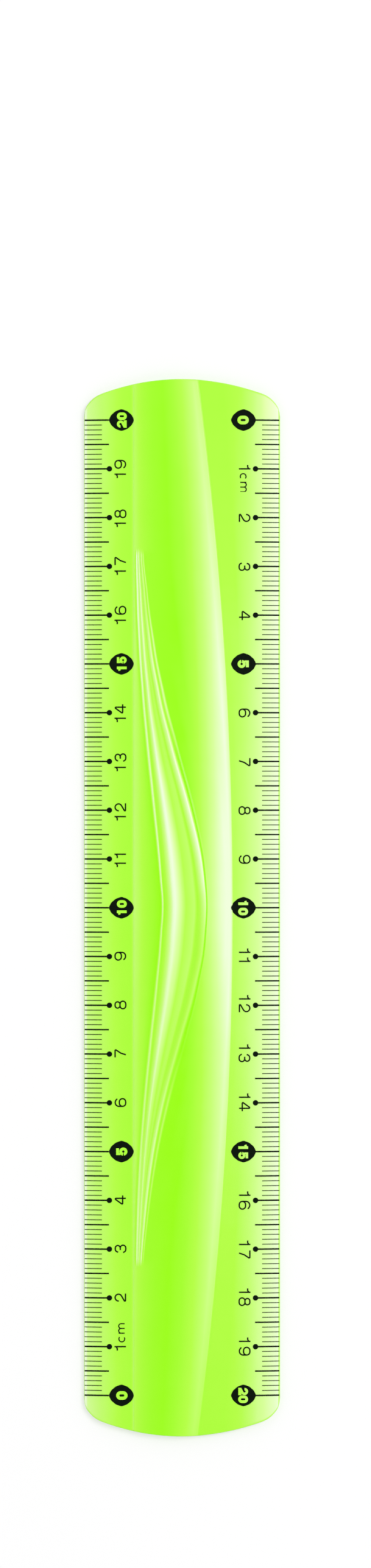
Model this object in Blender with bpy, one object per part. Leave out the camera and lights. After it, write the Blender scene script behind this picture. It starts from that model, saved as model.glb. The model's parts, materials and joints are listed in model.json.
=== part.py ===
"""Flexible ruler: one soft moulded PVC strip with a 20 cm scale printed along both long edges.

The strip lies flat on z = 0 with its length along Y, the 10 cm mark at y = 0 and the printed face up.
It bends and twists everywhere, so it is cut into short stretches. Each stretch turns about the
slit that it shares with its neighbour: most slits bend, and every fifth one twists.
Lengths are in metres.
"""

import math

import bmesh
import bpy
from mathutils import Vector

# Scale: numbered marks, with a line at each millimetre between them
SCALE_LENGTH = 0.200
CM_COUNT = 20
LINES_PER_CM = 10

# Outline of the strip, seen from above
STRIP_WIDTH = 0.0402
END_MARGIN = 0.00845
END_CROWN_RADIUS = 0.047
END_CORNER_RADIUS = 0.005
CROWN_ARC_STEPS = 14
CORNER_ARC_STEPS = 6

# Section of the strip: thin bevelled edges, flat bands, and a raised dome between them
EDGE_HEIGHT = 0.0010
BEVEL_WIDTH = 0.0042
BAND_HEIGHT = 0.0016
DOME_HEIGHT = 0.0021
DOME_STEP_RISE = 0.00012
DOME_STEP_RUN = 0.0002
DOME_LEFT_X = -0.0100
DOME_CROWN_X = -0.0022
DOME_RIGHT_X_MIDDLE = 0.0103
DOME_RIGHT_X_END = 0.0032

# Grip wave: a long leaf moulded on the dome, with a lip round it and two ridges along it
WAVE_REACH = 0.0736
WAVE_FADE = 0.0012
WAVE_LEFT_X_MIDDLE = -0.0040
WAVE_LEFT_X_TIP = -0.00934
WAVE_RIGHT_X_MIDDLE = 0.0052
WAVE_RIGHT_X_TIP = -0.00807
WAVE_LEFT_POWER = 0.8
WAVE_RIGHT_POWER = 0.9
WAVE_TAPER_SHARE = 0.1
WAVE_LIP_RISE = 0.00012
WAVE_LIP_RUN = 0.00020
RIDGE_RISE = 0.00028
VALLEY_RISE = 0.00006
LEFT_RIDGE_SHARE = 0.28
VALLEY_SHARE = 0.50
RIGHT_RIDGE_TIP_SHARE = 0.68
RIGHT_RIDGE_MIDDLE_SHARE = 0.91

# Printed marks, modelled as low relief
PRINT_RISE = 0.00010
PAD_RISE = 0.00013
PRINT_SINK = 0.0003
LINE_INSET = 0.00013
LONG_LINE = 0.0050
SHORT_LINE = 0.00355
CM_LINE_WIDTH = 0.00027
LINE_WIDTH = 0.0002
DOT_RADIUS = 0.00055
DOT_SIDES = 12
BADGE_EVERY_CM = 5
BADGE_HALF_LENGTH = 0.00255
BADGE_HALF_WIDTH = 0.00222
BADGE_LOBES = 4
BADGE_LOBE_SHARE = 0.05
BADGE_CORNER_POWER = 1.65
BADGE_POINTS = 24

# Slits between the stretches, each just past a centimetre mark, where no line is cut
SLIT_GAP = 0.0004
SLIT_PAST_MARK = 0.0005
TWIST_EVERY_CM = 5
FIRST_TWIST_CM = 2
ROWS_PER_CM = 2

# How far a cutting shape runs past what it cuts
OVERRUN = 0.001

PVC_COLOUR = (0.35, 0.95, 0.03, 1.0)
INK_COLOUR = (0.006, 0.010, 0.006, 1.0)

CM_PITCH = SCALE_LENGTH / CM_COUNT
HALF_WIDTH = STRIP_WIDTH / 2
HALF_LENGTH = SCALE_LENGTH / 2 + END_MARGIN
BAND_X = HALF_WIDTH - BEVEL_WIDTH
TOP_HEIGHT = DOME_HEIGHT + RIDGE_RISE
HINGE_HEIGHT = TOP_HEIGHT / 2
LINE_END_X = HALF_WIDTH - LINE_INSET - LONG_LINE
ROOT_STRETCH = CM_COUNT // 2


def clear_scene():
    for old in list(bpy.data.objects):
        bpy.data.objects.remove(old)


def make_material(name, colour, roughness):
    material = bpy.data.materials.new(name)
    material.use_nodes = True
    shader = material.node_tree.nodes["Principled BSDF"]
    shader.inputs["Base Color"].default_value = colour
    shader.inputs["Roughness"].default_value = roughness
    shader.inputs["Metallic"].default_value = 0.0
    material.diffuse_color = colour
    return material


def mark_y(cm):
    """Where the mark of that many centimetres crosses the strip, on the scale that reads upwards."""
    return (cm - CM_COUNT / 2) * CM_PITCH


def slit_y(cm):
    """Middle of the slit just past that mark."""
    return mark_y(cm) + SLIT_PAST_MARK


def bevel_z(x):
    """Top of the bevelled edges and of the flat bands beside them."""
    past = max(0, abs(x) - BAND_X)
    return BAND_HEIGHT - past * (BAND_HEIGHT - EDGE_HEIGHT) / BEVEL_WIDTH


def dome_right_x(y):
    """The dome's right edge is one long arc, furthest out at the middle of the strip."""
    bow = DOME_RIGHT_X_MIDDLE - DOME_RIGHT_X_END
    radius = (HALF_LENGTH**2 + bow**2) / (2 * bow)
    return DOME_RIGHT_X_MIDDLE - radius + math.sqrt(radius**2 - y**2)


def dome_z(x, y):
    """Top of the dome, which falls from its crown to a small step at either edge."""
    foot_x = DOME_LEFT_X + DOME_STEP_RUN if x < DOME_CROWN_X else dome_right_x(y)
    away = (x - DOME_CROWN_X) / (foot_x - DOME_CROWN_X)
    foot_z = BAND_HEIGHT + DOME_STEP_RISE
    return foot_z + (DOME_HEIGHT - foot_z) * (1 - away**2)


def wave_swell(y, power, taper_share):
    """1 at the middle of the wave and 0 at its tips, along a bell with a little straight taper."""
    out = min(1, abs(y) / WAVE_REACH)
    bell = (1 + math.cos(math.pi * out**power)) / 2
    return bell * (1 - taper_share) + (1 - out) * taper_share


def wave_edges(y):
    left_swell = wave_swell(y, WAVE_LEFT_POWER, 0)
    right_swell = wave_swell(y, WAVE_RIGHT_POWER, WAVE_TAPER_SHARE)
    left = WAVE_LEFT_X_TIP + (WAVE_LEFT_X_MIDDLE - WAVE_LEFT_X_TIP) * left_swell
    right = WAVE_RIGHT_X_TIP + (WAVE_RIGHT_X_MIDDLE - WAVE_RIGHT_X_TIP) * right_swell
    return left, right


def wave_points(y):
    """Points across the wave, left to right, as (x, z). Past the tips they lie on the plain dome."""
    left, right = wave_edges(y)
    span = right - left
    swell = wave_swell(y, WAVE_RIGHT_POWER, WAVE_TAPER_SHARE)
    right_ridge = RIGHT_RIDGE_TIP_SHARE + (RIGHT_RIDGE_MIDDLE_SHARE - RIGHT_RIDGE_TIP_SHARE) * swell
    relief = [
        (left, 0),
        (left + WAVE_LIP_RUN, WAVE_LIP_RISE),
        (left + span * LEFT_RIDGE_SHARE, RIDGE_RISE),
        (left + span * VALLEY_SHARE, VALLEY_RISE),
        (left + span * right_ridge, RIDGE_RISE),
        (right - WAVE_LIP_RUN, WAVE_LIP_RISE),
        (right, 0),
    ]
    fade = max(0, min(1, (WAVE_REACH - abs(y)) / WAVE_FADE))
    return [(x, dome_z(x, y) + rise * fade) for x, rise in relief]


def section(y):
    """Points across the top of the strip at y, left to right, running past both edges."""
    outside = HALF_WIDTH + OVERRUN
    right_foot = dome_right_x(y)
    wave = wave_points(y)
    shoulder = (wave[-1][0] + right_foot) / 2
    left_part = [(x, bevel_z(x)) for x in (-outside, -BAND_X, DOME_LEFT_X)]
    left_step = DOME_LEFT_X + DOME_STEP_RUN
    right_part = [(x, bevel_z(x)) for x in (right_foot + DOME_STEP_RUN, BAND_X, outside)]
    dome_part = [(x, dome_z(x, y)) for x in (shoulder, right_foot)]
    return left_part + [(left_step, dome_z(left_step, y))] + wave + dome_part + right_part


def row_places():
    """Where the sections stand along the strip: at the slits, between them, and at the wave's tips."""
    outside = HALF_LENGTH + OVERRUN
    steps = range(-ROWS_PER_CM, (CM_COUNT + 1) * ROWS_PER_CM)
    rows = {slit_y(step / ROWS_PER_CM) for step in steps}
    rows = {y for y in rows if abs(y) < HALF_LENGTH}
    tips = {side * reach for side in (-1, 1) for reach in (WAVE_REACH, WAVE_REACH - WAVE_FADE)}
    return sorted(rows | tips | {-outside, outside})


def new_object(name, bm, materials):
    bmesh.ops.recalc_face_normals(bm, faces=bm.faces)
    mesh = bpy.data.meshes.new(name)
    bm.to_mesh(mesh)
    bm.free()
    for material in materials:
        mesh.materials.append(material)
    thing = bpy.data.objects.new(name, mesh)
    bpy.context.collection.objects.link(thing)
    return thing


def hide_guide(thing):
    thing.hide_render = True
    thing.display_type = "WIRE"


def add_boolean(thing, operation, other):
    cut = thing.modifiers.new(other.name, "BOOLEAN")
    cut.operation = operation
    cut.solver = "EXACT"
    cut.object = other


def slab(materials):
    """A sheet with the strip's moulded top, extruded down past the underside."""
    sections = [(y, section(y)) for y in row_places()]
    across = len(sections[0][1]) - 1
    along = len(sections) - 1
    bm = bmesh.new()
    bmesh.ops.create_grid(bm, x_segments=across, y_segments=along, size=1)
    for vert in bm.verts:
        column = round((vert.co.x + 1) / 2 * across)
        y, points = sections[round((vert.co.y + 1) / 2 * along)]
        x, z = points[column]
        vert.co = (x, y, z)
    below = bmesh.ops.extrude_face_region(bm, geom=bm.faces[:])
    for vert in below["geom"]:
        if isinstance(vert, bmesh.types.BMVert):
            vert.co.z = -OVERRUN
    return new_object("moulded_slab", bm, materials)


def end_outline():
    """Half of one rounded end: a shallow crown arc that runs into a tight corner arc."""
    corner_x = HALF_WIDTH - END_CORNER_RADIUS
    crown_y = HALF_LENGTH - END_CROWN_RADIUS
    corner_y = crown_y + math.sqrt((END_CROWN_RADIUS - END_CORNER_RADIUS) ** 2 - corner_x**2)
    meet = math.atan2(corner_x, corner_y - crown_y)
    points = []
    for step in range(CROWN_ARC_STEPS + 1):
        turn = meet * step / CROWN_ARC_STEPS
        points.append((END_CROWN_RADIUS * math.sin(turn), crown_y + END_CROWN_RADIUS * math.cos(turn)))
    for step in range(1, CORNER_ARC_STEPS + 1):
        turn = meet + (math.pi / 2 - meet) * step / CORNER_ARC_STEPS
        x = corner_x + END_CORNER_RADIUS * math.sin(turn)
        points.append((x, corner_y + END_CORNER_RADIUS * math.cos(turn)))
    return points


def prism(bm, outline, low, high, material_index):
    """Adds a closed prism that stands on an outline of (x, y) points, from low to high."""
    base = bm.faces.new([bm.verts.new((x, y, low)) for x, y in outline])
    raised = bmesh.ops.extrude_face_region(bm, geom=[base], use_keep_orig=True)
    verts = [part for part in raised["geom"] if isinstance(part, bmesh.types.BMVert)]
    bmesh.ops.translate(bm, verts=verts, vec=(0, 0, high - low))
    for face in {face for vert in verts for face in vert.link_faces} | {base}:
        face.material_index = material_index


def outline_prism(materials):
    """The strip's outline with its two rounded ends, as a straight prism."""
    right_top = end_outline()
    right_low = [(x, -y) for x, y in reversed(right_top)]
    right = right_top + right_low
    left = [(-x, y) for x, y in reversed(right[1:-1])]
    bm = bmesh.new()
    prism(bm, right + left, 0, TOP_HEIGHT + OVERRUN, 0)
    return new_object("strip_outline", bm, materials)


def line_bar(bm, side, y, length, width):
    """One graduation line: a low bar that follows the bevel and the band."""
    outer = HALF_WIDTH - LINE_INSET
    inner = outer - length
    places = [outer, inner] if inner >= BAND_X else [outer, BAND_X, inner]
    top = [(x, bevel_z(x) + PRINT_RISE) for x in places]
    foot = [(x, bevel_z(x) - PRINT_SINK) for x in reversed(places)]
    corners = [bm.verts.new((side * x, y - width / 2, z)) for x, z in top + foot]
    end_face = bm.faces.new(corners)
    far = bmesh.ops.extrude_face_region(bm, geom=[end_face], use_keep_orig=True)
    verts = [part for part in far["geom"] if isinstance(part, bmesh.types.BMVert)]
    bmesh.ops.translate(bm, verts=verts, vec=(0, width, 0))
    for face in {face for vert in verts for face in vert.link_faces} | {end_face}:
        face.material_index = 1


def graduation_lines(materials):
    """A line at each millimetre of both edges: long at each half centimetre, bold at each centimetre."""
    bm = bmesh.new()
    for line in range(CM_COUNT * LINES_PER_CM + 1):
        y = mark_y(line / LINES_PER_CM)
        is_cm = line % LINES_PER_CM == 0
        is_long = line % (LINES_PER_CM // 2) == 0
        for side in (-1, 1):
            width = CM_LINE_WIDTH if is_cm else LINE_WIDTH
            line_bar(bm, side, y, LONG_LINE if is_long else SHORT_LINE, width)
    return new_object("graduation_lines", bm, materials)


def badge_outline(x, y):
    """A rounded rhombus whose four sides are slightly hollow, which carries each fifth number."""
    points = []
    for step in range(BADGE_POINTS):
        turn = 2 * math.pi * step / BADGE_POINTS
        across, up = math.cos(turn), math.sin(turn)
        corner = (abs(across) ** BADGE_CORNER_POWER + abs(up) ** BADGE_CORNER_POWER) ** (-1 / BADGE_CORNER_POWER)
        reach = corner * (1 - BADGE_LOBE_SHARE * (1 - math.cos(BADGE_LOBES * turn)) / 2)
        points.append((x + BADGE_HALF_LENGTH * reach * across, y + BADGE_HALF_WIDTH * reach * up))
    return points


def dot_outline(x, y):
    turns = [2 * math.pi * step / DOT_SIDES for step in range(DOT_SIDES)]
    return [(x + DOT_RADIUS * math.cos(turn), y + DOT_RADIUS * math.sin(turn)) for turn in turns]


def mark_pads(materials):
    """What stands at the inner end of each centimetre line: a badge at each fifth, else a dot."""
    bm = bmesh.new()
    badge_x = LINE_END_X + LINE_INSET - BADGE_HALF_LENGTH
    for cm in range(CM_COUNT + 1):
        for side in (-1, 1):
            if cm % BADGE_EVERY_CM == 0:
                outline = badge_outline(side * badge_x, mark_y(cm))
            else:
                outline = dot_outline(side * LINE_END_X, mark_y(cm))
            prism(bm, outline, BAND_HEIGHT - PRINT_SINK, BAND_HEIGHT + PAD_RISE, 1)
    return new_object("mark_pads", bm, materials)


def whole_strip(materials):
    """The strip in one piece, kept as the guide that every stretch is taken from."""
    strip = slab(materials)
    steps = [("INTERSECT", outline_prism), ("UNION", graduation_lines), ("UNION", mark_pads)]
    for operation, make in steps:
        other = make(materials)
        hide_guide(other)
        add_boolean(strip, operation, other)
    hide_guide(strip)
    return strip


def stretch_name(index):
    if index == 0:
        return "strip_end_at_0"
    if index == CM_COUNT + 1:
        return f"strip_end_at_{CM_COUNT}"
    return f"strip_{index - 1:02d}_to_{index:02d}"


def stretch_span(index):
    """The two ends of a stretch along Y. The outermost stretches run past the rounded ends."""
    low = -HALF_LENGTH - OVERRUN if index == 0 else slit_y(index - 1) + SLIT_GAP / 2
    high = HALF_LENGTH + OVERRUN if index == CM_COUNT + 1 else slit_y(index) - SLIT_GAP / 2
    return low, high


def stretch_origin(index):
    """The point that the stretch turns about: in the slit on the side of the middle stretch."""
    if index == ROOT_STRETCH:
        return Vector((0, mark_y(CM_COUNT / 2), 0))
    inner_slit = index if index < ROOT_STRETCH else index - 1
    return Vector((0, slit_y(inner_slit), HINGE_HEIGHT))


def make_stretch(index, strip, materials):
    """One stretch of the strip: a block between two slits, kept where the whole strip fills it."""
    low, high = stretch_span(index)
    origin = stretch_origin(index)
    size = Vector((STRIP_WIDTH + 2 * OVERRUN, high - low, TOP_HEIGHT + 2 * OVERRUN))
    middle = Vector((0, (low + high) / 2, TOP_HEIGHT / 2))
    bm = bmesh.new()
    bmesh.ops.create_cube(bm, size=1)
    bmesh.ops.scale(bm, verts=bm.verts, vec=size)
    bmesh.ops.translate(bm, verts=bm.verts, vec=middle - origin)
    stretch = new_object(stretch_name(index), bm, materials)
    stretch.location = origin
    add_boolean(stretch, "INTERSECT", strip)
    return stretch


def chain_stretches(stretches):
    """Each stretch hangs on its neighbour towards the middle one."""
    for index, stretch in enumerate(stretches):
        if index == ROOT_STRETCH:
            continue
        inner = index + 1 if index < ROOT_STRETCH else index - 1
        stretch.parent = stretches[inner]
        stretch.location = stretch_origin(index) - stretch_origin(inner)


def print_joints():
    """The slits and the way that each one turns."""
    for cm in range(CM_COUNT + 1):
        turn = "twists" if cm % TWIST_EVERY_CM == FIRST_TWIST_CM else "bends"
        print(f"slit past {cm} cm at y = {slit_y(cm):.4f}, z = {HINGE_HEIGHT:.5f} {turn}")


def main():
    clear_scene()
    pvc = make_material("lime_soft_pvc", PVC_COLOUR, 0.25)
    ink = make_material("dark_green_print", INK_COLOUR, 0.5)
    strip = whole_strip([pvc, ink])
    stretches = [make_stretch(index, strip, [pvc, ink]) for index in range(CM_COUNT + 2)]
    chain_stretches(stretches)
    print_joints()


main()
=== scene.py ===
# %% [markdown]
# A flexible ruler is one strip of soft PVC, moulded in a lime green that lets some light through.
# Both long edges are bevelled thin and carry a printed centimetre scale. The middle is a low dome,
# and a grip wave, a long leaf with two ridges, is moulded on it.
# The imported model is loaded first. It gives the strip's size and the slits that it turns about, so
# that the shown strip fits the solids.

# %% Load the frame
import json
import math

import bmesh
import bpy
from mathutils import Matrix, Vector

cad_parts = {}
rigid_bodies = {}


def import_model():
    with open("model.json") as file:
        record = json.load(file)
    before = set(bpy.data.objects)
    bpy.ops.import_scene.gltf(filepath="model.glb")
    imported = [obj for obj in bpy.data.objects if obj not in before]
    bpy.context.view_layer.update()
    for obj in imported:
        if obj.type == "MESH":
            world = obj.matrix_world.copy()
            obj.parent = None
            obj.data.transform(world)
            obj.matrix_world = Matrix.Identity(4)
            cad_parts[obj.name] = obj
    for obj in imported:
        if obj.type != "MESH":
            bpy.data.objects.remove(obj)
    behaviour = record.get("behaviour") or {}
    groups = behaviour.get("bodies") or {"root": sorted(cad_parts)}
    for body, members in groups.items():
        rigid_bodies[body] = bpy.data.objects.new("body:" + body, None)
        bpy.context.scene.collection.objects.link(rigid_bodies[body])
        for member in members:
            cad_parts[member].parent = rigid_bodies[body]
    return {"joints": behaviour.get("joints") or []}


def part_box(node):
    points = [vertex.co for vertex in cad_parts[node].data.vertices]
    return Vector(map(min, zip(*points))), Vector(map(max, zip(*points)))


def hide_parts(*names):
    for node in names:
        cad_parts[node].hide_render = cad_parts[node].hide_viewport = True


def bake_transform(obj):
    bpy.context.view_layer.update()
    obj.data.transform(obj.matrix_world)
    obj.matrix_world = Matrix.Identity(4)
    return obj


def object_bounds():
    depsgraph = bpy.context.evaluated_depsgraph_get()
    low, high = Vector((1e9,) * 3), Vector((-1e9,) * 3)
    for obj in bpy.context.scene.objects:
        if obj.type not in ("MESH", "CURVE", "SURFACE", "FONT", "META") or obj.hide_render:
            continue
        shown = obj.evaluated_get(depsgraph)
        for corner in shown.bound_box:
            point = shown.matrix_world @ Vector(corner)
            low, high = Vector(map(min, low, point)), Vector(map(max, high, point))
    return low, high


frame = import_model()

cad_low, cad_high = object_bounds()
HALF_WIDTH = (cad_high.x - cad_low.x) / 2
HALF_LENGTH = (cad_high.y - cad_low.y) / 2
SLITS = sorted(frame["joints"], key=lambda joint: joint["pos_m"][1])
print(f"strip {2000 * HALF_LENGTH:.1f} x {2000 * HALF_WIDTH:.1f} mm, {len(SLITS)} places to turn")

# %% [markdown]
# The scale sets every place along the strip: a numbered mark each 10 mm. A slit of the solid model
# lies half a millimetre past each mark. The shown strip could be one long mesh, but a piece follows
# two stretches at most. There is one piece for each slit, from the middle of one stretch to the
# middle of the next, and two pieces always meet on a stretch. So there is one piece for each slit,
# from the middle of one stretch to the middle of the next.

# %% Places along the strip
MM = 0.001
CM = 0.010
CM_COUNT = 20
LINES_PER_CM = 10
SLIT_PAST_MARK = 0.0005
SEAM_PAST_MARK = 0.0053


def mark_y(cm):
    return (cm - CM_COUNT / 2) * CM


def slit_y(index):
    return SLITS[index]["pos_m"][1]


def seams(index):
    """Where the piece over a slit starts and ends."""
    mark = slit_y(index) - SLIT_PAST_MARK
    return mark + SEAM_PAST_MARK - CM, mark + SEAM_PAST_MARK


print(f"first seams at {[round(y / MM, 1) for y in seams(0)]} mm")

# %% [markdown]
# The strip's section: a thin edge, a bevel, a flat band, then the dome between a straight step on
# the left and a long bowed edge on the right. Such forms could be sculpted, but a few formulas keep
# them true to their arcs along the whole strip. The sizes are those of the solids, to a tenth of a
# millimetre.

# %% Sizes of the section
EDGE_HEIGHT = 0.0010
EDGE_ROUND = 0.00015
BEVEL_WIDTH = 0.0042
BAND_HEIGHT = 0.0016
BAND_X = HALF_WIDTH - BEVEL_WIDTH
DOME_HEIGHT = 0.0021
DOME_STEP_RISE = 0.00012
DOME_STEP_RUN = 0.0002
DOME_LEFT_X = -0.0100
DOME_CROWN_X = -0.0022
DOME_RIGHT_X_MIDDLE = 0.0103
DOME_RIGHT_X_END = 0.0031


def bevel_z(x):
    past = max(0, abs(x) - BAND_X)
    return BAND_HEIGHT - past * (BAND_HEIGHT - EDGE_HEIGHT) / BEVEL_WIDTH


def dome_right_x(y):
    bow = DOME_RIGHT_X_MIDDLE - DOME_RIGHT_X_END
    radius = (HALF_LENGTH**2 + bow**2) / (2 * bow)
    return DOME_RIGHT_X_MIDDLE - radius + math.sqrt(radius**2 - y**2)


def dome_z(x, y):
    foot_x = DOME_LEFT_X + DOME_STEP_RUN if x < DOME_CROWN_X else dome_right_x(y)
    away = (x - DOME_CROWN_X) / (foot_x - DOME_CROWN_X)
    foot_z = BAND_HEIGHT + DOME_STEP_RISE
    return foot_z + (DOME_HEIGHT - foot_z) * (1 - away**2)


print(f"dome's right edge {dome_right_x(0) / MM:.1f} mm from the middle line at 10 cm")

# %% [markdown]
# The grip wave is a long leaf. Both edges are bell curves that start together near the left step
# and swell to the right. A lip runs round it, and two ridges run along it. A picture could displace
# the surface, but curves keep such long lines free of steps. A pair of values for an edge holds its
# place at the middle and the one at the tips, and a pair for a bell holds its power and the share
# of it that is a straight taper.

# %% The wave's edges
WAVE_REACH = 0.0736
WAVE_FADE = 0.0012
WAVE_LEFT_X = (-0.0040, -0.00934)
WAVE_LEFT_BELL = (0.75, 0.1)
WAVE_RIGHT_X = (0.0051, -0.0081)
WAVE_RIGHT_SPREAD = 0.0412
WAVE_TIP_POWER = 12
SWELL_BELL = (0.9, 0.1)
LIP_RISE = 0.00012
RIDGE_RISE = 0.00028
VALLEY_RISE = 0.00006


def bell(y, power, taper_share):
    """1 at the wave's middle and 0 at its tips."""
    out = min(1, abs(y) / WAVE_REACH)
    return (1 + math.cos(math.pi * out**power)) / 2 * (1 - taper_share) + (1 - out) * taper_share


def wave_edges(y):
    left = WAVE_LEFT_X[1] + (WAVE_LEFT_X[0] - WAVE_LEFT_X[1]) * bell(y, *WAVE_LEFT_BELL)
    closed = 1 - min(1, abs(y) / WAVE_REACH) ** WAVE_TIP_POWER
    swollen = math.exp(-((y / WAVE_RIGHT_SPREAD) ** 2)) * closed
    return left, WAVE_RIGHT_X[1] + (WAVE_RIGHT_X[0] - WAVE_RIGHT_X[1]) * swollen


for y in (0, WAVE_REACH / 2, WAVE_REACH):
    left, right = wave_edges(y)
    print(f"wave at {y / MM:.0f} mm from the middle: {left / MM:.1f} to {right / MM:.1f} mm")

# %% [markdown]
# Soft lime PVC is deep lime where it is thick, and turns pale where it is thin. Light scattered
# inside the plastic could show this, but it would be grainy on lines this fine. So each point of the
# section carries a paleness from 0 to 1, which the material turns to a colour, and the relief's
# painted highlights and painted shade are laid into it too. On the flat bands it grows out to the
# thin edges, and the right ones are painted paler than the left, as a painted highlight. On the
# dome it is painted highlight: it grows to the left step, and to the right, where the dome falls
# away to its bowed edge. Its lower half is painted a little deeper, as painted shade. A pair of
# values holds the one at the strip's middle and the one at its ends.

# %% Paleness, painted highlights and painted shade of the bands and the dome
# Both bevels are pale where they are thin. The right band and edge are painted paler than the left
# ones as well, as a painted highlight on the right side.
LEFT_BAND_PALE = (0.20, 0.21)
LEFT_EDGE_PALE = (0.62, 0.74)
LEFT_EDGE_POWER = 1.3
RIGHT_BAND_PALE = (0.38, 0.22)
RIGHT_EDGE_PALE = (1.00, 0.95)
RIGHT_EDGE_POWER = 1.0
BAND_PALE_X = 0.0110
# A painted highlight along the left step, and one on the dome's right flank up to its bowed edge.
STEP_HIGHLIGHT = (0.49, 0.37)
STEP_HIGHLIGHT_WIDTH = 0.0004
STEP_HIGHLIGHT_FADE = 0.0027
BOW_HIGHLIGHT = (1.30, 0.59)
BOW_HIGHLIGHT_REACH = (0.0102, 0.0080)
BOW_HIGHLIGHT_POWER = 1.35
# On the lower half both highlights lose a share: painted shade.
LOWER_STEP_SHADE = 0.12
LOWER_BOW_SHADE = 0.22
LOWER_SHADE_Y = (0.005, -0.035)
END_POWER = 1.5


def ramp(value, start, end):
    """0 up to start and 1 from end on, with soft shoulders."""
    share = max(0, min(1, (value - start) / (end - start)))
    return share * share * (3 - 2 * share)


def towards_end(pair, y):
    """From the value at the strip's middle to the one at its ends."""
    return pair[0] + (pair[1] - pair[0]) * (abs(y) / HALF_LENGTH) ** END_POWER


# Pale towards the thin edges, with a painted highlight over the whole right side.
def band_pale(x, y):
    left = (LEFT_BAND_PALE, LEFT_EDGE_PALE, LEFT_EDGE_POWER)
    right = (RIGHT_BAND_PALE, RIGHT_EDGE_PALE, RIGHT_EDGE_POWER)
    band, edge, power = left if x < 0 else right
    out = max(0, (abs(x) - BAND_PALE_X) / (HALF_WIDTH - BAND_PALE_X))
    return towards_end(band, y) + (towards_end(edge, y) - towards_end(band, y)) * out**power


# The dome's paleness is painted light: a highlight by the left step and one growing to the bowed
# edge, both dimmed on the lower half as painted shade.
def dome_pale(x, y):
    lower = ramp(y, *LOWER_SHADE_Y)
    past_step = max(0, x - DOME_LEFT_X - STEP_HIGHLIGHT_WIDTH) / STEP_HIGHLIGHT_FADE
    step_highlight = towards_end(STEP_HIGHLIGHT, y) * (1 - LOWER_STEP_SHADE * lower) * math.exp(-past_step)
    closeness = max(0, 1 - max(0, dome_right_x(y) - x) / towards_end(BOW_HIGHLIGHT_REACH, y))
    bow_highlight = towards_end(BOW_HIGHLIGHT, y) * (1 - LOWER_BOW_SHADE * lower) * closeness**BOW_HIGHLIGHT_POWER
    return min(1, step_highlight + bow_highlight)


print(f"paleness beside the bowed edge {dome_pale(dome_right_x(0), 0):.2f} at 10 cm")

# %% [markdown]
# The wave's paleness is painted light: its crests are painted pale as highlights, and its feet deep
# lime as shade. The left lip and the left ridge carry a painted highlight all along. The right
# ridge is painted bright above the middle only, and again near the lower tip, as if it faced the
# light there. Round the middle the right lip is painted as a thin line of deep lime, a painted shade
# where it turns away from the light. The four crests start side by side at a tip and spread as the
# wave swells, so each column of the wave has a place across it, as a share of its width, at the tips
# and at the middle. Its height and its paleness stand beside the place, so that all three follow the
# same feature.

# %% Columns of the wave
TIP_RISE_SHARE = 0.4
LEFT_LIP_HIGHLIGHT = (0.90, (0.10, 0.040, 0.052), (-0.20, 0.005, -0.008))
LEFT_RIDGE_HIGHLIGHT = (1.00, (-0.12, 0.020, 0.050), (-0.16, 0.005, -0.020), (-0.12, -0.020, -0.050))
RIGHT_RIDGE_HIGHLIGHT = (0.42, (0.58, -0.010, 0.010), (-0.18, 0.015, 0.045), (-0.28, 0.050, 0.062),
                    (0.36, -0.025, -0.052))
RIGHT_LIP_SHADE_AND_HIGHLIGHT = (0, (0.76, 0.028, 0.042), (-0.228, 0.056, 0.064), (0.4864, -0.028, -0.042))


def along_strip(crest, y):
    """A first value, and then what is added on the way from one y to another."""
    value, *changes = crest
    return value + sum(amount * ramp(y, start, end) for amount, start, end in changes)


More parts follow.
